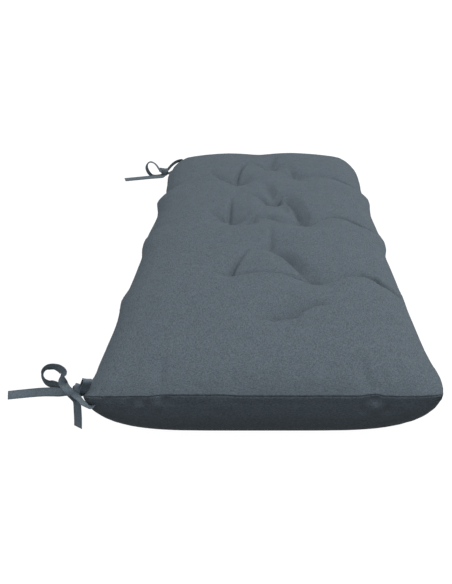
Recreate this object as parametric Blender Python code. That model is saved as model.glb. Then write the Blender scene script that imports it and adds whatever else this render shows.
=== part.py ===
"""Tufted bench cushion with bow ties at two corners.

The cushion lies on its back on z = 0, its length along Y and its width along X.
Its cover is two panels sewn edge to edge, so its seam runs round at about two thirds of its height.
Ten tufts pull the top panel down in rows of one and two, with valleys running between them.
At the two corners of the -X side a pair of cloth strips is sewn on and tied in a one-loop bow.
"""
import math

import bmesh
import bpy
import numpy as np
from mathutils import Vector

MM = 0.001

# Driving dimensions, in metres.
LENGTH = 1.500           # seam to seam along Y
WIDTH = 0.500            # seam to seam along X, between the drawn-in places
SEAM_HEIGHT = 0.092      # seam above the surface that the cushion lies on
CROWN = 0.040            # top panel above the seam, between the tufts
FAR_CORNER_DROP = 0.009  # how much lower the seam lies at the +Y corners
FAR_CORNER_PULL = 0.033  # how far those two corners are pulled back towards the middle
FAR_CROWN_GAIN = 0.002   # how much fuller the crown is at that end

# The top panel rises from the seam in a short edge, which takes a share of the crown,
# and then in a long gentle dome.
EDGE_REACH = 0.045
EDGE_SHARE = 0.55
FAR_EDGE_SHARE = 0.76
DOME_REACH_X = WIDTH / 2
DOME_REACH_Y = 0.300

# How far in from the seam the base panel is still rolling over, and how full that roll is.
BASE_ROLL_X = 0.190
BASE_ROLL_Y = 0.074
BASE_POWER_ENDS = 1.83
BASE_POWER_LEFT = 3.5
BASE_POWER_RIGHT = 3.1

# Seam of the two long sides, in millimetres from the middle: each pillow swells out
# ahead of the place where the next fold draws the side in.
SIDE_ROWS = (
    # y, left, right
    (-750, 256, 250), (-722, 256.5, 254), (-695, 251.5, 255), (-660, 251, 253), (-600, 250, 250),
    (-500, 249, 249), (-425, 254, 249), (-385, 257, 251), (-345, 252, 249), (-300, 251, 249),
    (-220, 251, 249), (-150, 252, 249), (-90, 259, 258), (-35, 260, 259), (0, 257, 255), (60, 255, 254),
    (150, 254, 254), (220, 262, 260), (265, 268, 264), (305, 265, 264), (345, 254, 256),
    (385, 258, 256), (450, 262, 260), (520, 268, 263), (590, 271, 265), (660, 268, 264),
    (720, 267, 259), (750, 264, 252),
)

# Tufts: where stitches through the filling pull the top panel down, in millimetres.
TUFTS = (
    # x, y, depth, reach
    (20, -540, 7, 50), (-62, -352, 5.5, 36), (88, -378, 11, 55),
    (16, -185, 12.5, 55), (-79, -6, 11, 45), (80, -18, 14, 55),
    (24, 146, 18, 60), (-74, 327, 11, 45), (80, 378, 11, 50),
    (19, 494, 15.5, 60),
)
TUFT_POWER = 1.5

# Valleys from tuft to tuft and out to the sides: the reach on both sides of the line,
# then the points that it runs through as (x, y, depth), in millimetres.
VALLEYS = (
    (45, ((88, -378, 5), (60, -300, 6), (16, -185, 7))),
    (30, ((-62, -352, 4), (16, -185, 4))),
    (34, ((88, -378, 5.5), (160, -345, 3), (240, -395, 5.5))),
    (34, ((80, -18, 10), (24, 146, 11))),
    (34, ((80, -18, 5.5), (170, 20, 3), (245, -25, 5.5))),
    (34, ((-79, -6, 4), (24, 146, 5.5))),
    (34, ((80, 378, 8.5), (19, 494, 7))),
    (34, ((80, 378, 5.5), (170, 395, 3), (250, 340, 5.5))),
    (34, ((-74, 327, 5.5), (19, 494, 5.5))),
    (30, ((-225, -400, 0), (-262, -375, 7))),
    (30, ((-190, 20, 0), (-268, -20, 7))),
    (30, ((-200, 370, 0), (-262, 335, 8.5))),
    (110, ((19, 494, 4), (-16, 640, 8), (-16, 720, 7))),
)
VALLEY_POWER = 1.6
RELIEF_BLEND = 3.0       # how softly tufts and valleys run into each other
RELIEF_FADE = 0.040      # how far in from the seam they start
FADE_POWER = 2.2

# A panel's grid: close rings next to the seam, then even cells.
EDGE_RINGS = (0.0, 0.002, 0.008, 0.020, 0.036, 0.056)
CELL = 0.019

# Ties.
TIE_WIDTH = 0.013
TIE_THICKNESS = 0.0015
TIE_STEP = 0.0045        # distance between sections along a strip
FRONT_ANGLE = 28         # degrees below level from which the bows are laid out

CLOTH_COLOUR = (0.088, 0.105, 0.120, 1.0)
TIE_COLOUR = (0.150, 0.178, 0.198, 1.0)


def clear_scene():
    for old in list(bpy.data.objects):
        bpy.data.objects.remove(old, do_unlink=True)


def cloth_material(name, colour):
    material = bpy.data.materials.new(name)
    material.use_nodes = True
    shader = material.node_tree.nodes["Principled BSDF"]
    shader.inputs["Base Color"].default_value = colour
    shader.inputs["Roughness"].default_value = 0.92
    shader.inputs["Metallic"].default_value = 0.0
    return material


def finish_object(name, bm, material, collection, smooth_angle):
    mesh = bpy.data.meshes.new(name)
    bmesh.ops.recalc_face_normals(bm, faces=bm.faces)
    if bm.calc_volume(signed=True) < 0:
        bmesh.ops.reverse_faces(bm, faces=bm.faces)
    bm.to_mesh(mesh)
    bm.free()
    mesh.shade_smooth()
    mesh.set_sharp_from_angle(angle=math.radians(smooth_angle))
    mesh.materials.append(material)
    obj = bpy.data.objects.new(name, mesh)
    collection.objects.link(obj)
    return obj


# ---------------------------------------------------------------- cushion shape

def roll(distance, reach, power):
    """Rise from 0 at a seam or fold to 1 at reach, steep at first like stuffed cloth."""
    t = np.clip(distance / reach, 0.0, 1.0)
    return (1.0 - (1.0 - t) ** power) ** (1.0 / power)


def dome(distance, reach):
    """Rise from 0 at a seam to 1 at reach, with a crease left at the seam."""
    return 1.0 - (1.0 - np.clip(distance / reach, 0.0, 1.0)) ** 2


def top_rise(distance, dome_reach, edge_share):
    return edge_share * dome(distance, EDGE_REACH) + (1.0 - edge_share) * dome(distance, dome_reach)


def dip(gap, reach, power):
    """1 on a tuft or a valley's line, falling to 0 at reach."""
    return (1.0 - np.clip(gap / reach, 0.0, 1.0)) ** power


def valley_depth(x, y, reach, points):
    """Depth of one valley, which changes evenly from point to point."""
    depth = np.zeros_like(x)
    for (ax, ay, deep_a), (bx, by, deep_b) in zip(points, points[1:]):
        dx, dy = bx - ax, by - ay
        along = np.clip(((x - ax) * dx + (y - ay) * dy) / (dx * dx + dy * dy), 0.0, 1.0)
        gap = np.hypot(x - ax - along * dx, y - ay - along * dy)
        depth = np.maximum(depth, (deep_a + (deep_b - deep_a) * along) * dip(gap, reach, VALLEY_POWER))
    return depth


def relief_depth(x, y):
    """How far tufts and valleys pull the top panel down, in mm, the deeper one winning softly."""
    total = np.zeros_like(x)
    for tuft_x, tuft_y, depth, reach in TUFTS:
        gap = np.hypot(x - tuft_x, y - tuft_y)
        total += (depth * dip(gap, reach, TUFT_POWER)) ** RELIEF_BLEND
    for reach, points in VALLEYS:
        total += valley_depth(x, y, reach, points) ** RELIEF_BLEND
    return total ** (1.0 / RELIEF_BLEND)


def table_curve(at, rows, column):
    """Smooth curve through one column of a table, with its first column as the position."""
    knots = np.array([row[0] for row in rows], dtype=float)
    values = np.array([row[column] for row in rows], dtype=float)
    slopes = np.gradient(values, knots)
    i = np.clip(np.searchsorted(knots, at) - 1, 0, len(knots) - 2)
    span = knots[i + 1] - knots[i]
    t = (at - knots[i]) / span
    ends = values[i] * (1 + 2 * t) * (1 - t) ** 2 + values[i + 1] * t * t * (3 - 2 * t)
    return ends + span * (slopes[i] * t * (1 - t) ** 2 - slopes[i + 1] * t * t * (1 - t))


def far_share(y, power):
    """0 over the -Y half, then rising to 1 at the +Y end."""
    return np.clip(y / (LENGTH / 2), 0.0, 1.0) ** power


def corner_share(px, py):
    """1 at the two +Y corners, falling off along their sides."""
    return far_share(py, 3) * np.clip(np.abs(px) / (WIDTH / 2), 0.0, 1.0) ** 2


def ring_positions(half):
    """Grid positions from -half to half: the edge rings, then even cells."""
    inner = half - EDGE_RINGS[-1]
    cells = math.ceil(2 * inner / CELL)
    rings = [half - ring for ring in EDGE_RINGS[:-1]]
    middle = [-inner + 2 * inner * i / cells for i in range(cells + 1)]
    return np.array([-ring for ring in rings] + middle + rings[::-1])


def panel_points(px, py, top):
    """Move flat panel points (px, py) to where the stuffed panel has them."""
    sides = [table_curve(py / MM, SIDE_ROWS, column) * MM for column in (1, 2)]
    x = px / (WIDTH / 2) * np.where(px < 0, sides[0], sides[1])
    y = py - FAR_CORNER_PULL * far_share(py, 6) * (px / (WIDTH / 2)) ** 4
    from_side = WIDTH / 2 - np.abs(px)
    from_end = LENGTH / 2 - np.abs(py)
    seam = SEAM_HEIGHT - FAR_CORNER_DROP * corner_share(px, py)
    if top:
        crown = CROWN + FAR_CROWN_GAIN * far_share(py, 3)
        side_share = EDGE_SHARE + (FAR_EDGE_SHARE - EDGE_SHARE) * far_share(py, 1)
        end_share = np.where(py < 0, EDGE_SHARE, FAR_EDGE_SHARE)
        rise = top_rise(from_side, DOME_REACH_X, side_share) * top_rise(from_end, DOME_REACH_Y, end_share)
        fade = roll(from_side, RELIEF_FADE, FADE_POWER) * roll(from_end, RELIEF_FADE, FADE_POWER)
        z = seam + crown * rise - relief_depth(x / MM, y / MM) * MM * fade
    else:
        side_power = np.where(px < 0, BASE_POWER_LEFT, BASE_POWER_RIGHT)
        rise = roll(from_side, BASE_ROLL_X, side_power) * roll(from_end, BASE_ROLL_Y, BASE_POWER_ENDS)
        z = seam * (1.0 - rise)
    return x, y, z


def add_panel(bm, top):
    """One panel: a grid laid on ring_positions and moved to the stuffed shape."""
    xs, ys = ring_positions(WIDTH / 2), ring_positions(LENGTH / 2)
    grid = bmesh.ops.create_grid(bm, x_segments=len(xs) - 1, y_segments=len(ys) - 1, size=1.0)
    verts = grid["verts"]
    column = np.array([round((v.co.x + 1.0) / 2.0 * (len(xs) - 1)) for v in verts])
    line = np.array([round((v.co.y + 1.0) / 2.0 * (len(ys) - 1)) for v in verts])
    x, y, z = panel_points(xs[column], ys[line], top)
    for vert, place in zip(verts, zip(x, y, z)):
        vert.co = place


def build_cushion(collection):
    bm = bmesh.new()
    add_panel(bm, top=True)
    add_panel(bm, top=False)
    bmesh.ops.remove_doubles(bm, verts=bm.verts, dist=0.00001)
    material = cloth_material("cushion_cloth", CLOTH_COLOUR)
    return finish_object("cushion", bm, material, collection, smooth_angle=60)


# ---------------------------------------------------------------- ties

# Routes of the visible runs, from the corner's seam tip at (0, 0, 0), in millimetres:
# (right, away, up, turn). A turn of 0 shows the strip's full width from the front,
# and 90 shows its edge.
NEAR_CORNER = (-WIDTH / 2, -LENGTH / 2, SEAM_HEIGHT)
NEAR_RUNS = {
    "root_upper": [
        (-5, 14, 9.5, -149), (-2.5, 9.5, 16.5, -134), (1, 4.5, 24, -127), (2, 3, 25, -62),
        (3, 1, 24.5, -32), (3, 0, 22.5, -30), (2.5, 0, 20.5, -42), (-0.5, 3.5, 14, -48),
        (-2.5, 5.5, 10.5, -50),
    ],
    "root_lower": [
        (0, -5, -11, 68), (-5, -7, -6, 65), (-9.5, -6.5, -0.5, 60),
    ],
    "loop": [
        (-39.5, 16, 6.5, -34), (-48, 17, 9.5, -36), (-56, 16, 12.5, -42), (-60.5, 14.5, 19, -54),
        (-61.5, 12, 27, -66), (-58, 10, 35.5, -102), (-51.5, 9, 40.5, -122), (-44, 8, 42, -128),
        (-36, 7, 39.5, -145), (-30.5, 5, 34.5, -150), (-32, 3.5, 30, -124), (-32, 1.5, 25.5, -155),
        (-31, 0.5, 19, -200), (-27, -0.5, 12, -216), (-23, 0, 6, -206),
    ],
    "tail_side": [
        (-38.5, 6, 3, 10), (-47, 5, 4, 12), (-60.5, 4, 4.5, 15), (-74, 3, 4, 18), (-90.5, 1.5, 3, 20),
        (-110, 0, 1.5, 22),
    ],
    "tail_hanging": [
        (-15, 2, -11, 19), (-14, -2, -20, 19), (-13.5, -6, -32.5, 19), (-13.5, -10, -43.5, 19),
    ],
}
NEAR_KNOT = ((-16.0, 10.0, 3.5), (7.0, 5.5, 10.0))

FAR_CORNER = (-WIDTH / 2, LENGTH / 2, SEAM_HEIGHT - 0.010)
FAR_RUNS = {
    "root_upper": [
        (3, -10, 11.5, -70), (-6, -15, 11.5, -70), (-14.5, -22, 9.5, -70), (-22, -29, 5.5, -70),
        (-28.5, -35, 0.5, -70),
    ],
    "root_lower": [
        (-20, -43, -13, 30), (-26, -45.5, -16.5, 35), (-31.5, -48, -18, 40),
    ],
    "loop": [
        (-63, -50, -26, -58), (-70, -50, -27, -60), (-82, -50, -26.5, -60), (-91, -50, -20, -50),
        (-97, -50, -10, -45), (-99, -50, 1, -48), (-95, -50, 11.5, -60), (-87, -50, 16, -58),
        (-77.5, -50, 13, -66), (-69.5, -50, 5.5, -68), (-62, -51, -6.5, -68),
    ],
    "tail_side": [
        (-60, -62, -25.5, 30), (-86, -66, -26.5, 28), (-121.5, -68, -29.5, 28), (-163, -70, -33, 28),
    ],
}
FAR_KNOT = ((-45.0, -49.0, -15.5), (11.5, 7.0, 11.5))


def smooth_route(rows):
    """Catmull-Rom curve through the rows, resampled about every TIE_STEP."""
    points = np.array(rows, dtype=float)
    padded = np.vstack([2 * points[0] - points[1], points, 2 * points[-1] - points[-2]])
    route = []
    for i in range(1, len(padded) - 2):
        a, b, c, d = padded[i - 1:i + 3]
        steps = max(1, round(float(np.linalg.norm((c - b)[:3])) * MM / TIE_STEP))
        for k in range(steps):
            t = k / steps
            route.append(0.5 * (2 * b + (c - a) * t + (2 * a - 5 * b + 4 * c - d) * t ** 2
                                + (3 * b - a - 3 * c + d) * t ** 3))
    route.append(points[-1])
    return np.array(route)


def section(centre, tangent, turn):
    """The strip's four corner points across its route at one place."""
    front = math.radians(FRONT_ANGLE)
    view = Vector((0, math.cos(front), -math.sin(front)))
    flat = tangent.cross(view).normalized()
    deep = tangent.cross(flat).normalized()
    across = flat * math.cos(math.radians(turn)) + deep * math.sin(math.radians(turn))
    through = tangent.cross(across).normalized()
    corners = ((-1, -1), (1, -1), (1, 1), (-1, 1))
    return [centre + across * (a * TIE_WIDTH / 2) + through * (b * TIE_THICKNESS / 2) for a, b in corners]


def build_strip(name, rows, corner, material, collection):
    """A strip is a loft through its turned sections, closed at both ends."""
    route = smooth_route(rows)
    centres = [Vector(corner) + Vector(row[:3]) * MM for row in route]
    last = len(centres) - 1
    bm = bmesh.new()
    rings = []
    for i, centre in enumerate(centres):
        tangent = (centres[min(i + 1, last)] - centres[max(i - 1, 0)]).normalized()
        rings.append([bm.verts.new(corner_point) for corner_point in section(centre, tangent, route[i][3])])
    for ring, following in zip(rings, rings[1:]):
        for k in range(4):
            bm.faces.new((ring[k], ring[(k + 1) % 4], following[(k + 1) % 4], following[k]))
    bm.faces.new(rings[0][::-1])
    bm.faces.new(rings[-1])
    return finish_object(name, bm, material, collection, smooth_angle=50)


def build_knot(name, place, corner, material, collection):
    """The knotted part of both strips, as one rounded lump."""
    centre, half_axes = place
    bm = bmesh.new()
    bmesh.ops.create_uvsphere(bm, u_segments=14, v_segments=9, radius=1.0)
    for vert in bm.verts:
        vert.co = [vert.co[axis] * half_axes[axis] * MM for axis in range(3)]
    bmesh.ops.translate(bm, verts=bm.verts, vec=Vector(corner) + Vector(centre) * MM)
    return finish_object(name, bm, material, collection, smooth_angle=60)


def build_ties(collection):
    material = cloth_material("tie_cloth", TIE_COLOUR)
    ties = (("near", NEAR_CORNER, NEAR_RUNS, NEAR_KNOT), ("far", FAR_CORNER, FAR_RUNS, FAR_KNOT))
    for place, corner, runs, knot in ties:
        for run, rows in runs.items():
            build_strip(f"tie_{place}_{run}", rows, corner, material, collection)
        build_knot(f"tie_{place}_knot", knot, corner, material, collection)


clear_scene()
cushion_collection = bpy.data.collections.new("bench_cushion")
bpy.context.scene.collection.children.link(cushion_collection)
build_cushion(cushion_collection)
build_ties(cushion_collection)
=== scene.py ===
"""Tufted bench cushion: the looks.

A stuffed cover of blue-grey woven cloth lies on its back on a pale floor. Two cloth strips
are sewn into each corner of its left side and tied in a bow with one loop.
"""
import math

import bmesh
import bpy
import numpy as np
from mathutils import Matrix, Vector
from mathutils.bvhtree import BVHTree
from mathutils.kdtree import KDTree


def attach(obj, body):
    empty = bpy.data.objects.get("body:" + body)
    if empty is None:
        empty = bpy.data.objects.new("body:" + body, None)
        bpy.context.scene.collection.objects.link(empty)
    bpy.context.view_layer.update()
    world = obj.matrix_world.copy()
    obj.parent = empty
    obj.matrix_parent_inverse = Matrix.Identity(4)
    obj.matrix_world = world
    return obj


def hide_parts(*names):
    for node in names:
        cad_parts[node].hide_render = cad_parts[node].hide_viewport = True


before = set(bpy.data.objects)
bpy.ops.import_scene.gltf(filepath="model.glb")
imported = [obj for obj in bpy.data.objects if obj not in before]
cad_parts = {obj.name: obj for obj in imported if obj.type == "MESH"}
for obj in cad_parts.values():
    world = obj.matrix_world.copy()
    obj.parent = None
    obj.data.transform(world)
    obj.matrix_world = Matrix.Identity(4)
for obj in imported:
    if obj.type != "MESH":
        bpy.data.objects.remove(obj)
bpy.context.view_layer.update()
scene = bpy.context.scene
scene.view_settings.view_transform = "Standard"

# ------------------------------------------------------------------ camera
# A person stands at the cushion's end and looks down its length, from about
# knee height above a low bench. The frame is cropped a little to the left.

camera_data = bpy.data.cameras.new("camera")
camera = bpy.data.objects.new("camera", camera_data)
scene.collection.objects.link(camera)
camera.location = (-0.004, -1.812, 0.663)
camera.rotation_euler = (math.radians(90 - 21.32), 0, 0)
camera_data.sensor_width = 36
camera_data.lens = 52.73
camera_data.shift_x = -0.0625
scene.camera = camera

# ------------------------------------------------------------------ near corner ties
# Two strips of the cover's cloth, folded lengthwise to 13 mm and edge-stitched, are
# caught in the corner seam. The upper one makes the loop and ends in the tail that
# hangs down, the lower one ends in the tail that sticks out to the side.

MM = 0.001
TIE_WIDTH = 0.013
TIE_THICKNESS = 0.0015
TIE_STEP = 0.0018          # distance between sections along a strip
TIE_BOW_ANGLE = 28         # degrees below level from which the bows are laid out
STITCH_INSET = 0.0017      # distance of the edge stitches from the strip's edges
STITCH_LENGTH = 0.0028
WEAVE_BUMP = 0.35
WEAVE_DEPTH = 0.0006
SEAM_HEIGHT = 0.092


class Shade:
    """A shader socket that Python's own operators work on."""

    def __init__(self, material, socket=None):
        self.material = material
        self.socket = socket

    def node(self, kind, settings=None, output=0, **sockets):
        made = self.material.node_tree.nodes.new(kind)
        for name, value in (settings or {}).items():
            setattr(made, name, value)
        for name, value in sockets.items():
            key = int(name[1:]) if name[1:].isdigit() else name.replace("_", " ")
            self.link(value, made.inputs[key])
        return Shade(self.material, made.outputs[output])

    def link(self, value, target):
        if isinstance(value, Shade):
            self.material.node_tree.links.new(value.socket, target)
        else:
            target.default_value = value

    def maths(self, operation, a, b=None):
        values = {"s0": a} if b is None else {"s0": a, "s1": b}
        return self.node("ShaderNodeMath", {"operation": operation}, **values)

    def __add__(self, other):
        return self.maths("ADD", self, other)

    def __radd__(self, other):
        return self.maths("ADD", other, self)

    def __sub__(self, other):
        return self.maths("SUBTRACT", self, other)

    def __rsub__(self, other):
        return self.maths("SUBTRACT", other, self)

    def __mul__(self, other):
        return self.maths("MULTIPLY", self, other)

    def __rmul__(self, other):
        return self.maths("MULTIPLY", other, self)

    def within(self, low, high):
        """0 at low, 1 at high, and smooth between them."""
        settings = {"interpolation_type": "SMOOTHSTEP"}
        return self.node("ShaderNodeMapRange", settings, Value=self, From_Min=low, From_Max=high)

    def size(self):
        return self.maths("ABSOLUTE", self)


def woven_cloth(name, dark, light, threads, lengthwise, crosswise, finish=None):
    """Cloth whose threads differ a little in tone, as in a melange yarn.

    threads is the vector that the weave follows, and lengthwise and crosswise are the
    two sets of threads as scales of it: about 1 / length along, and 1 / width across.
    """
    material = bpy.data.materials.new(name)
    material.use_nodes = True
    shader = material.node_tree.nodes["Principled BSDF"]
    shader.inputs["Metallic"].default_value = 0.0
    shader.inputs["Specular IOR Level"].default_value = 0.05
    graph = Shade(material)
    place = threads(graph)
    sets = []
    for scales in (lengthwise, crosswise):
        stretched = graph.node("ShaderNodeVectorMath", {"operation": "MULTIPLY"},
                               s0=place, s1=scales)
        sets.append(graph.node("ShaderNodeTexNoise", Vector=stretched, Scale=1.0, Detail=1.5,
                               Roughness=0.6))
    grain = (sets[0] + sets[1]) * 0.5
    blotch = graph.node("ShaderNodeTexNoise", Vector=place, Scale=45.0, Detail=3.0, Roughness=0.6)
    tone = grain.within(0.30, 0.70) * 0.92 + blotch.within(0.3, 0.7) * 0.08
    colour = graph.node("ShaderNodeMix", {"data_type": "RGBA"}, output=2,
                        s0=tone, s6=dark, s7=light)
    height = grain
    if finish:
        colour, height = finish(graph, colour, height)
    graph.link(colour, shader.inputs["Base Color"])
    graph.link(0.97 - 0.12 * grain, shader.inputs["Roughness"])
    raised = graph.node("ShaderNodeBump", Strength=WEAVE_BUMP, Distance=WEAVE_DEPTH, Height=height)
    graph.link(raised, shader.inputs["Normal"])
    return material


def strip_vector(graph):
    """Metres along and across a strip, from its own UV map."""
    return graph.node("ShaderNodeUVMap", {"uv_map": "strip"})


def stitched_edges(graph, colour, height):
    """Two rows of edge stitches: darker dashes in a shallow groove."""
    along = graph.node("ShaderNodeSeparateXYZ", s0=strip_vector(graph))
    across = graph.node("ShaderNodeSeparateXYZ", output=1, s0=strip_vector(graph))
    from_row = (across.size() - (TIE_WIDTH / 2 - STITCH_INSET)).size()
    groove = 1 - from_row.within(0.0002, 0.0007)
    dash = along.maths("SINE", along * (2 * math.pi / STITCH_LENGTH)).within(-0.5, 0.2)
    dark = graph.node("ShaderNodeMix", {"data_type": "RGBA", "blend_type": "MULTIPLY"}, output=2,
                      s0=groove * dash * 0.35, s6=colour, s7=(0.25, 0.25, 0.25, 1.0))
    return dark, height - groove * 0.9


# The strips' cloth is the cover's cloth painted lighter: painted light on the strips.
tie_cloth = woven_cloth("tie_cloth", (0.085, 0.105, 0.122, 1), (0.150, 0.178, 0.200, 1),
                        strip_vector, lengthwise=(220, 1100, 0), crosswise=(1100, 220, 0),
                        finish=stitched_edges)


def smooth_route(rows):
    """Catmull-Rom curve through the rows, resampled about every TIE_STEP metres."""
    points = np.array(rows, dtype=float)
    padded = np.vstack([2 * points[0] - points[1], points, 2 * points[-1] - points[-2]])
    route = []
    for i in range(1, len(padded) - 2):
        a, b, c, d = padded[i - 1:i + 3]
        steps = max(1, round(float(np.linalg.norm((c - b)[:3])) * MM / TIE_STEP))
        for k in range(steps):
            t = k / steps
            route.append(0.5 * (2 * b + (c - a) * t + (2 * a - 5 * b + 4 * c - d) * t ** 2
                                + (3 * b - a - 3 * c + d) * t ** 3))
    route.append(points[-1])
    return np.array(route)


# The strip's section as (across, through): flat faces, and folds at both edges.
STRIP_SECTION = (
    (-0.50, 0.00), (-0.49, 0.32), (-0.45, 0.50), (-0.36, 0.42), (-0.18, 0.50), (0.0, 0.52),
    (0.18, 0.50), (0.36, 0.42), (0.45, 0.50), (0.49, 0.32),
    (0.50, 0.00), (0.49, -0.32), (0.45, -0.50), (0.36, -0.42), (0.18, -0.50), (0.0, -0.52),
    (-0.18, -0.50), (-0.36, -0.42), (-0.45, -0.50), (-0.49, -0.32),
)


def tie_strip(name, corner, rows, nodes, slant=0.0):
    """A strip along rows of (right, away, up, turn, share of the width), in mm from corner."""
    route = smooth_route(rows)
    centres = [Vector(corner) + Vector(row[:3]) * MM for row in route]
    last = len(centres) - 1
    tilt = math.radians(TIE_BOW_ANGLE)
    view = Vector((0, math.cos(tilt), -math.sin(tilt)))
    bm = bmesh.new()
    uv = bm.loops.layers.uv.new("strip")
    rings, travelled = [], [0.0]
    for i, centre in enumerate(centres):
        if i:
            travelled.append(travelled[-1] + (centre - centres[i - 1]).length)
        tangent = (centres[min(i + 1, last)] - centres[max(i - 1, 0)]).normalized()
        flat = tangent.cross(view).normalized()
        deep = tangent.cross(flat).normalized()
        turn = math.radians(route[i][3])
        across = flat * math.cos(turn) + deep * math.sin(turn)
        through = tangent.cross(across).normalized()
        width = TIE_WIDTH * route[i][4]
        lean = slant * max(0.0, (i - last + 3) / 3)
        rings.append([bm.verts.new(centre + across * (a * width) + tangent * (a * width * lean)
                                   + through * (b * TIE_THICKNESS)) for a, b in STRIP_SECTION])
    count = len(STRIP_SECTION)
    for i in range(last):
        for k in range(count):
            n = (k + 1) % count
            face = bm.faces.new((rings[i][k], rings[i][n], rings[i + 1][n], rings[i + 1][k]))
            for loop, (row, side) in zip(face.loops, ((i, k), (i, n), (i + 1, n), (i + 1, k))):
                loop[uv].uv = (travelled[row], STRIP_SECTION[side][0] * TIE_WIDTH)
    for ring, row in ((rings[0][::-1], 0), (rings[-1], last)):
        face = bm.faces.new(ring)
        for loop in face.loops:
            loop[uv].uv = (travelled[row], 0.0)
    bmesh.ops.recalc_face_normals(bm, faces=bm.faces)
    if bm.calc_volume(signed=True) < 0:
        bmesh.ops.reverse_faces(bm, faces=bm.faces)
    mesh = bpy.data.meshes.new(name)
    bm.to_mesh(mesh)
    bm.free()
    mesh.shade_smooth()
    mesh.materials.append(tie_cloth)
    strip = bpy.data.objects.new(name, mesh)
    scene.collection.objects.link(strip)
    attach(strip, "root")
    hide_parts(*nodes)
    return strip, [list(c) for c in centres], travelled[-1]


def object_vector(graph):
    """Metres in the piece's own frame."""
    return graph.node("ShaderNodeTexCoord", output=3)


# The knot's cloth is the cover's cloth painted lighter too, as painted light, and a little darker
# than the strips.
knot_cloth_painted_lighter = woven_cloth("knot_cloth_painted_lighter", (0.080, 0.099, 0.115, 1), (0.145, 0.172, 0.194, 1),
                         object_vector, lengthwise=(220, 1100, 1100),
                         crosswise=(1100, 220, 1100))


KNOT_GATHER = 0.10         # depth of the core's gathers, as a share of its radius
KNOT_CORE = 0.95           # size of the core inside the wrap
WRAP_ROUND = 0.25
WRAP_HALF_WIDTH = 5.2      # mm
WRAP_FLATNESS = 0.42
WRAP_REACH = (1.06, 1.02)  # how far the wrap stands off the core, away and up


def knot(name, corner, centre, half_axes, tilt, node):
    """A wrap of the strip round a core of gathered cloth, centre and half_axes in mm."""
    bpy.ops.object.select_all(action="DESELECT")
    bpy.ops.mesh.primitive_uv_sphere_add(segments=28, ring_count=18, radius=1.0)
    lump = bpy.context.object
    for vert in lump.data.vertices:
        angle = math.atan2(vert.co.z, vert.co.x)
        fold = 1 - KNOT_GATHER * abs(math.sin(2.5 * angle + 3.0 * vert.co.y + 0.6)) ** 0.5
        vert.co = [vert.co[axis] * half_axes[axis] * MM * fold * KNOT_CORE for axis in range(3)]
    bpy.ops.mesh.primitive_torus_add(major_segments=40, minor_segments=12,
                                     major_radius=1.0, minor_radius=WRAP_ROUND)
    wrap = bpy.context.object
    for vert in wrap.data.vertices:
        around = math.atan2(vert.co.y, vert.co.x)
        reach = 1.0 + (math.hypot(vert.co.x, vert.co.y) - 1.0) * WRAP_FLATNESS
        vert.co = (vert.co.z / WRAP_ROUND * WRAP_HALF_WIDTH * MM,
                   math.cos(around) * half_axes[1] * MM * reach * WRAP_REACH[0],
                   math.sin(around) * half_axes[2] * MM * reach * WRAP_REACH[1])
    wrap.data.transform(Matrix.Rotation(tilt, 4, "Y"))
    lump.select_set(True)
    bpy.context.view_layer.objects.active = lump
    bpy.ops.object.join()
    lump.data.transform(Matrix.Translation(Vector(corner) + Vector(centre) * MM))
    lump.name = name
    lump.data.materials.clear()
    lump.data.materials.append(knot_cloth_painted_lighter)
    lump.data.shade_smooth()
    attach(lump, "root")
    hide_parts(node)
    return lump


NEAR_CORNER = (-0.250, -0.750, SEAM_HEIGHT)
NEAR_UPPER = (
    # right, away, up, turn, width
    (-1, 26, -4, -208, 0.95), (-5, 20, 3, -196, 1), (-5, 14, 9.5, -149, 1),
    (-2.5, 9.5, 16.5, -134, 1), (1, 4.5, 24, -127, 1), (2, 3, 25, -62, 1), (3, 1, 24.5, -32, 1),
    (3, 0, 22.5, -30, 1), (2.5, 0, 20.5, -42, 1), (-0.5, 3.5, 14, -48, 1),
    (-2.5, 5.5, 10.5, -50, 1), (-7.5, 10, 1.5, -46, 0.95), (-12, 12, -1.5, -35, 0.85),
    (-21.5, 12, 0.5, -28, 0.75), (-31, 14, 4, -30, 0.75), (-39.5, 16, 6.5, -34, 0.9),
    (-48, 17, 9.5, -36, 1), (-56, 16, 12.5, -42, 1), (-60.5, 14.5, 19, -54, 1),
    (-61.5, 12, 27, -66, 1), (-58, 10, 35.5, -102, 1), (-51.5, 9, 40.5, -122, 1),
    (-44, 8, 42, -128, 1), (-36, 7, 39.5, -145, 1), (-30.5, 5, 34.5, -150, 1),
    (-32, 3.5, 30, -124, 1), (-32, 1.5, 25.5, -155, 1), (-31, 0.5, 19, -200, 1),
    (-27, -0.5, 12, -216, 1), (-23, 0, 6, -200, 0.95), (-19, 1, -1, -182, 0.85),
    (-16.5, 2, -6, -168, 0.85), (-15, 2, -11, -161, 0.9), (-14, -2, -20, -161, 0.95),
    (-13.5, -6, -32.5, -161, 0.95), (-13.5, -10, -43.5, -161, 0.95),
)
NEAR_LOWER = (
    (7, 8, -17.5, 66, 0.95), (3.5, 0, -15.5, 68, 1), (0, -5, -11, 68, 1), (-5, -7, -6, 65, 1),
    (-9.5, -6.5, -0.5, 60, 0.95), (-15, -2, 2.5, 40, 0.85), (-22, 5, 3.5, 20, 0.75),
    (-30, 6, 3, 10, 0.8), (-38.5, 6, 3, 10, 0.95), (-47, 5, 4, 12, 1), (-60.5, 4, 4.5, 15, 1),
    (-74, 3, 4, 18, 1), (-90.5, 1.5, 3, 20, 1), (-110, 0, 1.5, 22, 1),
)
near_knot = knot("near_knot", NEAR_CORNER, (-16.0, 10.0, 3.5), (7.0, 5.5, 10.0), math.radians(25),
                 "tie_near_knot")
near_upper, route, length = tie_strip(
    "near_tie_with_loop", NEAR_CORNER, NEAR_UPPER,
    ("tie_near_root_upper", "tie_near_loop", "tie_near_tail_hanging"), slant=-0.38)
near_lower, route, length = tie_strip("near_tie_with_side_tail", NEAR_CORNER, NEAR_LOWER,
                                      ("tie_near_root_lower", "tie_near_tail_side"))

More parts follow.
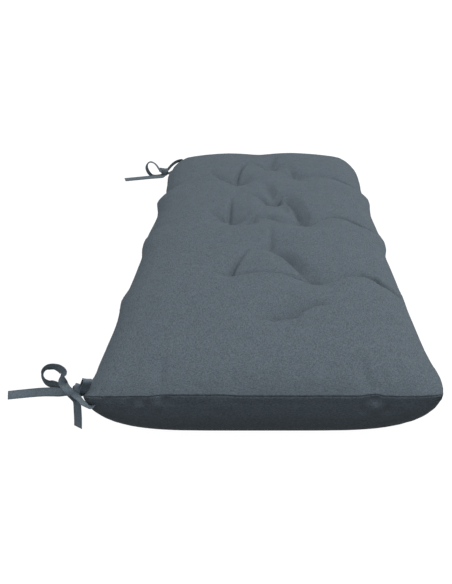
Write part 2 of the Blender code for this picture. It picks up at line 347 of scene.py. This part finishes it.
# ------------------------------------------------------------------ far corner ties
# The same two strips at the other end. The tail of the strip with the loop is short here:
# only its end shows, between the loop and the knot.

FAR_CORNER = (-0.250, 0.750, 0.082)
FAR_UPPER = (
    (6, -38, 0, -60, 0.95), (6.5, -27, 2.5, -65, 0.95), (6.5, -16, 8, -70, 1),
    (3, -10, 11.5, -70, 1), (-6, -15, 11.5, -70, 1), (-14.5, -22, 9.5, -70, 1),
    (-22, -29, 5.5, -70, 1), (-28.5, -35, 0.5, -70, 0.95), (-36, -43, -7, -65, 0.85),
    (-45.5, -49, -16, -62, 0.75), (-56, -50, -24, -60, 0.8), (-63, -50, -26, -58, 0.9),
    (-70, -50, -27, -60, 0.95), (-82, -50, -26.5, -60, 1), (-91, -50, -20, -50, 1),
    (-97, -50, -10, -45, 1), (-99, -50, 1, -48, 1), (-95, -50, 11.5, -60, 1),
    (-87, -50, 16, -58, 1), (-77.5, -50, 13, -66, 1), (-69.5, -50, 5.5, -68, 1),
    (-62, -51, -6.5, -68, 1), (-53.5, -51, -17, -60, 0.85), (-47, -50, -19, -40, 0.75),
    (-42, -47, -15, -15, 0.75), (-46, -45, -10, 5, 0.8), (-54, -44.5, -9.5, 10, 1),
    (-63, -44, -8.5, 10, 1),
)
FAR_LOWER = (
    (-8, -42, 0.5, 20, 1), (-20, -43, -13, 30, 1), (-26, -45.5, -16.5, 35, 1),
    (-31.5, -48, -18, 40, 0.9), (-41, -50, -20, 38, 0.75), (-51, -58, -25.5, 34, 0.9),
    (-60, -62, -25.5, 30, 1), (-86, -66, -26.5, 28, 1), (-121.5, -68, -29.5, 28, 1),
    (-163, -70, -33, 28, 1),
)
far_knot = knot("far_knot", FAR_CORNER, (-45.0, -49.0, -15.5), (11.5, 7.0, 11.5), math.radians(35),
                "tie_far_knot")
far_upper, route, length = tie_strip("far_tie_with_loop", FAR_CORNER, FAR_UPPER,
                                     ("tie_far_root_upper", "tie_far_loop"))
far_lower, route, length = tie_strip("far_tie_with_side_tail", FAR_CORNER, FAR_LOWER,
                                     ("tie_far_root_lower", "tie_far_tail_side"), -0.3)

# ------------------------------------------------------------------ cushion
# A top and a bottom panel of woven cloth, sewn edge to edge and stuffed. Stitches through
# the filling pull the top down in rows of one and two, and folds run from stitch to stitch.

TUFTS = (
    (20, -540), (-62, -352), (88, -378), (16, -185), (-79, -6), (80, -18), (24, 146),
    (-74, 327), (80, 378), (19, 494),
)
VOXEL = 0.0075
SWELL_LIMIT = 0.004        # how far the filling may push a point out
SWELL_START = 0.010        # distances from the seam over which that sets in
SWELL_FULL = 0.080
SWELL_BELOW = 0.3          # share of that limit below the seam
PIN_REACH = 0.010          # how far from a tuft's stitch the cover is held
SEAM_PIN_SHARE = 0.7       # the same from the seam, as a share
FLAT_BASE = 0.004          # height up to which the underside is held
TOP_START = 0.08
SEAM_REACH = 0.009         # how far from the seam the panels are drawn straight into it
SEAM_FOLD = 30             # degrees between the panels that make an edge part of the seam
SEAM_HEIGHTS = (0.06, 0.0925)
SEAM_STEP = 0.002
FOLD_HEIGHTS = (88.0, 108.0)    # mm over which the folds set in

# Folds, in mm: the reach on the left and on the right of the way the points run, how
# sharply the fold ends on its line, and then the points as (x, y, depth).
FOLDS = (
    (10, 9, 2, ((-110, -350, 0), (-78, -353, 4.5), (-61, -356, 9), (-36, -350, 7), (-5, -348, 5),
                (28, -353, 5), (60, -371, 7), (90, -381, 9))),
    (14, 10, 2, ((-62, -350, 12), (-57, -313, 13), (-47, -268, 8.5), (-33, -215, 4))),
    (30, 9, 1.6, ((-33, -209, 2), (-13, -200, 5), (3, -206, 7), (22, -227, 12), (41, -263, 14),
                  (57, -308, 11.5), (70, -350, 9), (85, -379, 7))),
    (30, 9, 1.5, ((85, -381, 10.5), (108, -384, 10.5), (127, -371, 9), (152, -350, 7),
                  (165, -345, 7))),
    (12, 9, 2, ((152, -350, 9), (178, -343, 14), (196, -348, 14), (215, -371, 11.5),
                (240, -392, 9))),
    (45, 9, 1.3, ((-4, -548, 3.5), (19, -552, 16), (40, -542, 16), (57, -519, 10.5))),
    (20, 9, 1.8, ((57, -519, 12), (83, -504, 12), (112, -500, 2.5))),
    (22, 22, 1.4, ((19, -540, 4.5), (30, -489, 4.5), (45, -430, 1))),
    (16, 12, 2, ((11, -200, 5), (13, -125, 5), (14, -63, 1))),
    (24, 9, 1.8, ((-140, 85, 0), (-110, 27, 5), (-82, -8, 10.5), (-53, -38, 9), (-26, -63, 0))),
    (32, 9, 1.6, ((-55, -30, 10), (-42, -38, 16), (-18, -8, 18), (8, -4, 18), (40, -27, 6))),
    (16, 8, 2, ((-79, 160, 4), (-79, 75, 13), (-80, -4, 15))),
    (55, 8, 1.2, ((-79, 160, 2), (-79, 75, 9), (-78, 0, 12))),
    (36, 9, 1.6, ((52, 169, 9), (65, 108, 14), (74, 43, 14), (82, -19, 12))),
    (30, 9, 1.6, ((75, -27, 10.5), (100, -19, 7), (119, 4, 5), (147, 23, 5))),
    (12, 9, 2, ((119, 4, 5), (147, 23, 9), (169, 23, 10.5), (190, 11, 10.5), (214, -12, 10.5),
                (240, -22, 7))),
    (18, 10, 2, ((119, 4, 5), (142, 51, 5), (165, 92, 0))),
    (26, 9, 1.8, ((-50, 205, 0), (-34, 197, 3.5), (-5, 174, 9), (14, 143, 14), (28, 143, 14))),
    (30, 9, 1.6, ((24, 145, 16), (41, 192, 12), (63, 210, 10.5), (101, 234, 7), (160, 275, 0))),
    (22, 22, 1.4, ((26, 160, 10.5), (14, 224, 10.5), (5, 302, 3.5))),
    (8, 16, 2, ((-74, 328, 12), (-71, 397, 14), (-63, 487, 10), (-50, 545, 3.5))),
    (8, 45, 1.2, ((-74, 328, 10.5), (-71, 397, 9), (-63, 487, 2))),
    (9, 26, 1.8, ((-74, 328, 10.5), (-109, 354, 9), (-135, 408, 5), (-152, 476, 0))),
    (20, 9, 2, ((-74, 323, 10.5), (-49, 328, 7), (-15, 360, 0))),
    (26, 9, 1.8, ((66, 487, 3.5), (77, 402, 9), (121, 397, 5), (174, 391, 5))),
    (12, 9, 2, ((121, 397, 3.5), (174, 391, 9), (211, 364, 10.5), (240, 342, 9))),
    (22, 9, 1.8, ((-60, 550, 0), (-33, 535, 3.5), (-5, 517, 7), (19, 493, 12))),
    (22, 9, 1.8, ((19, 493, 12), (39, 523, 9), (73, 560, 5), (103, 598, 3.5), (139, 637, 0))),
    (34, 20, 1.5, ((19, 511, 9), (24, 600, 7), (34, 690, 0))),
)

# How the seam at the near end waves up and down, as (x, lift) in mm.
SEAM_WAVES = (
    (-250, 0), (-232, -1.6), (-162, -1), (-148, 1.3), (-57, 1.3), (-36, -0.3), (133, -0.3),
    (144, 1.9), (155, 3.2), (165, 0), (189, -1.1), (217, -1.1), (238, 0.8), (250, 2.5),
)
WAVE_REACH = 14            # mm from the seam over which a wave dies out
NEAR_END = (-700.0, -640.0)     # mm along the cushion over which waves and puckers die out

# Puckers where the cover is gathered into that seam, in mm: x, distance above the seam
# (below it if negative), reach across and along, and depth (a lump if negative).
PUCKERS = (
    (-150, 38, 7, 28, 4), (141, 42, 7, 28, 4.5), (150, 14, 7, 9, 3), (190, 40, 8, 24, 1.8),
    (-222, -5, 6, 5, 2.4), (-200, -15, 7, 9, -2.8), (-190, -14, 4, 12, 2.4),
    (-180, -20, 6, 8, -3.2), (-178, -5, 6, 4, 2.4), (-166, -14, 4, 12, 2.6),
    (-153, -15, 6, 9, -4.4), (-140, -8, 7, 8, 3), (-64, -15, 9, 9, -2), (137, -25, 5, 9, 3.2),
    (154, -8, 7, 4, 3.6), (155, -20, 9, 10, -4.2), (172, -26, 6, 9, 3.2), (203, -22, 9, 9, -1.8),
)
PULLED_IN_ABOVE = 0.5      # shares of a pucker's depth that go in and down above the seam
PULLED_DOWN_ABOVE = 0.85

bpy.ops.object.select_all(action="DESELECT")
bpy.ops.mesh.primitive_cube_add()
cushion = bpy.context.object
cushion.name = "stuffed_cover"
cushion.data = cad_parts["cushion"].data.copy()
cushion.data.materials.clear()
bpy.ops.object.mode_set(mode="EDIT")
bpy.ops.mesh.select_all(action="SELECT")
bpy.ops.mesh.remove_doubles(threshold=0.00001)
bpy.ops.object.mode_set(mode="OBJECT")


def vertex_places(piece):
    places = np.empty(len(piece.data.vertices) * 3)
    piece.data.vertices.foreach_get("co", places)
    return places.reshape(-1, 3)


def move_vertices(piece, places):
    piece.data.vertices.foreach_set("co", places.ravel())
    piece.data.update()


# The seam is the sharp edge all round, kept as points for the pins and the seam's groove.
bm = bmesh.new()
bm.from_mesh(cushion.data)
seam_points = []
for edge in bm.edges:
    a, b = (vert.co for vert in edge.verts)
    sharp = edge.calc_face_angle(0) > math.radians(SEAM_FOLD)
    if sharp and min(a.z, b.z) > SEAM_HEIGHTS[0] and max(a.z, b.z) < SEAM_HEIGHTS[1]:
        steps = max(1, int((b - a).length / SEAM_STEP))
        seam_points += [a.lerp(b, k / steps) for k in range(steps)]
sewn_panels = BVHTree.FromBMesh(bm)
bm.free()
seam_tree = KDTree(len(seam_points))
for i, point in enumerate(seam_points):
    seam_tree.insert(point, i)
seam_tree.balance()

cushion.data.remesh_voxel_size = VOXEL
bpy.ops.object.voxel_remesh()

before = vertex_places(cushion)
pins = cushion.vertex_groups.new(name="pins")
stitched = np.array(TUFTS) * MM
for i, (x, y, z) in enumerate(before):
    held = z < FLAT_BASE or seam_tree.find((x, y, z))[2] < PIN_REACH * SEAM_PIN_SHARE
    if held or (z > TOP_START and np.hypot(*(stitched - (x, y)).T).min() < PIN_REACH):
        pins.add([i], 1.0, "REPLACE")
cloth = cushion.modifiers.new("Cloth", "CLOTH")
cloth.settings.quality = 5
cloth.settings.mass = 0.3
cloth.settings.tension_stiffness = 12
cloth.settings.compression_stiffness = 12
cloth.settings.shear_stiffness = 4
cloth.settings.bending_stiffness = 0.15
cloth.settings.use_pressure = True
cloth.settings.uniform_pressure_force = 4
cloth.settings.effector_weights.gravity = 0
cloth.settings.vertex_group_mass = "pins"
cloth.point_cache.frame_end = 20
for step in range(1, 21):
    scene.frame_set(step)
bpy.context.view_layer.objects.active = cushion
bpy.ops.object.modifier_apply(modifier="Cloth")
scene.frame_set(1)
moved = vertex_places(cushion) - before
far = np.linalg.norm(moved, axis=1)
from_seam = np.array([seam_tree.find(place)[2] for place in before])
share = np.clip((from_seam - SWELL_START) / (SWELL_FULL - SWELL_START), 0.0, 1.0)
limit = SWELL_LIMIT * np.where(before[:, 2] > SEAM_HEIGHT, 1.0, SWELL_BELOW)
moved *= (share * limit * np.tanh(far / limit) / np.maximum(far, 1e-9))[:, None]
move_vertices(cushion, before + moved)
cushion.vertex_groups.clear()

finer = cushion.modifiers.new("finer", "SUBSURF")
finer.levels = 1
finer.render_levels = 1
bpy.ops.object.modifier_apply(modifier="finer")
places = vertex_places(cushion)
for i, place in enumerate(places):
    gap = seam_tree.find(place)[2]
    if gap < SEAM_REACH:
        sewn = sewn_panels.find_nearest(place)[0]
        places[i] = Vector(place).lerp(sewn, min(1.0, 2 - 2 * gap / SEAM_REACH))
move_vertices(cushion, places)


def rising(value, low, high):
    t = np.clip((value - low) / (high - low), 0.0, 1.0)
    return t * t * (3 - 2 * t)


def fold_depth(x, y, left, right, power, points):
    """Depth of one fold at (x, y) in mm, sharpest along its line."""
    depth = np.zeros_like(x)
    for (ax, ay, deep_a), (bx, by, deep_b) in zip(points, points[1:]):
        dx, dy = bx - ax, by - ay
        along = np.clip(((x - ax) * dx + (y - ay) * dy) / (dx * dx + dy * dy), 0.0, 1.0)
        gap_x, gap_y = x - ax - along * dx, y - ay - along * dy
        gap = np.hypot(gap_x, gap_y)
        side = rising((dx * gap_y - dy * gap_x) / math.hypot(dx, dy), -4.0, 4.0)
        reach = right + (left - right) * side
        t = np.clip(gap / reach, 0.0, 1.0)
        here = (deep_a + (deep_b - deep_a) * along) * (1.0 - t) ** power * (1 + 0.6 * t)
        depth = np.maximum(depth, here)
    return depth


# Signed distance from the seam, above it or below it, for the puckers and for its groove.
places = vertex_places(cushion)
from_seam = np.empty(len(places))
for i, (px, py, pz) in enumerate(places):
    spot, _, gap = seam_tree.find((px, py, pz))
    from_seam[i] = gap if pz > spot.z else -gap
cushion.data.attributes.new("from_seam", "FLOAT", "POINT").data.foreach_set("value", from_seam)

x, y, z = places.T / MM
above = from_seam / MM
on_top = rising(z, *FOLD_HEIGHTS)
total = np.zeros_like(x)
for left, right, power, points in FOLDS:
    total += fold_depth(x, y, left, right, power, points) ** 3
places[:, 2] -= total ** (1 / 3) * on_top * MM
near_end = 1 - rising(y, *NEAR_END)
for pucker_x, pucker_up, across, along, deep in PUCKERS:
    spread = -((x - pucker_x) / across) ** 2 - ((above - pucker_up) / along) ** 2
    pull = deep * np.exp(spread) * near_end
    places[:, 1] += pull * np.where(above > 0, PULLED_IN_ABOVE, 1.0) * MM
    places[:, 2] -= pull * np.where(above > 0, PULLED_DOWN_ABOVE, 0.0) * MM
wave_x, wave_lift = zip(*SEAM_WAVES)
places[:, 2] += np.interp(x, wave_x, wave_lift) * np.exp(-(above / WAVE_REACH) ** 2) * near_end * MM
move_vertices(cushion, places)


def seam_with_painted_shade(graph, colour, height):
    """The seam as a thin groove with painted shade along it, with the allowance pressing out just
    below it.
    """
    gap = graph.node("ShaderNodeAttribute", {"attribute_name": "from_seam"}, output=2)
    groove = 1 - gap.size().within(0.0004, 0.0018)
    ridge = gap.within(-0.016, -0.004) * (1 - gap.within(-0.0034, -0.0006))
    # Painted shade: the cloth's colour is multiplied darker along the seam's groove, where shade
    # falls.
    dark = graph.node("ShaderNodeMix", {"data_type": "RGBA", "blend_type": "MULTIPLY"}, output=2,
                      s0=groove * 0.65, s6=colour, s7=(0.2, 0.2, 0.2, 1.0))
    return dark, height + ridge * 6.0 - groove * 3.0


cushion_cloth = woven_cloth("cushion_cloth", (0.052, 0.063, 0.073, 1), (0.125, 0.147, 0.166, 1),
                            object_vector, lengthwise=(300, 1100, 1100),
                            crosswise=(1100, 130, 1100), finish=seam_with_painted_shade)
cushion.data.materials.append(cushion_cloth)
cushion.data.shade_smooth()
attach(cushion, "root")
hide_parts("cushion")

# ------------------------------------------------------------------ floor and light
# A plain pale studio floor, one large soft light above and to the right, and a sky that is
# brightest just over the horizon, as the walls of a white studio are.

bpy.ops.mesh.primitive_plane_add(size=80, location=(0, 0, -0.0005))
floor = bpy.context.object
floor.name = "floor"
floor_paint = bpy.data.materials.new("floor_paint")
floor_paint.use_nodes = True
paint = floor_paint.node_tree.nodes["Principled BSDF"]
paint.inputs["Base Color"].default_value = (0.08, 0.08, 0.08, 1)
paint.inputs["Roughness"].default_value = 0.9
paint.inputs["Specular IOR Level"].default_value = 0.0
paint.inputs["Emission Color"].default_value = (1, 1, 1, 1)
paint.inputs["Emission Strength"].default_value = 0.98
floor.data.materials.append(floor_paint)
floor.visible_diffuse = False

world = bpy.data.worlds.new("studio")
scene.world = world
world.use_nodes = True
sky = Shade(world)
height = sky.node("ShaderNodeSeparateXYZ", output=2, s0=sky.node("ShaderNodeTexCoord"))
world.node_tree.nodes["Background"].inputs["Color"].default_value = (0.90, 0.96, 1.0, 1)
glow = 0.03 + 1.37 * height.within(-0.1, 0.2) - 0.92 * height.within(0.25, 0.9)
sky.link(glow, world.node_tree.nodes["Background"].inputs["Strength"])


def softbox(name, place, size, watts):
    light = bpy.data.lights.new(name, "AREA")
    light.shape = "SQUARE"
    light.size = size
    light.energy = watts
    box = bpy.data.objects.new(name, light)
    scene.collection.objects.link(box)
    box.location = place
    box.rotation_euler = (Vector((0, 0, 0.1)) - box.location).to_track_quat("-Z", "Y").to_euler()


softbox("overhead_softbox", (2.3, -0.3, 4.0), 2.2, 138)
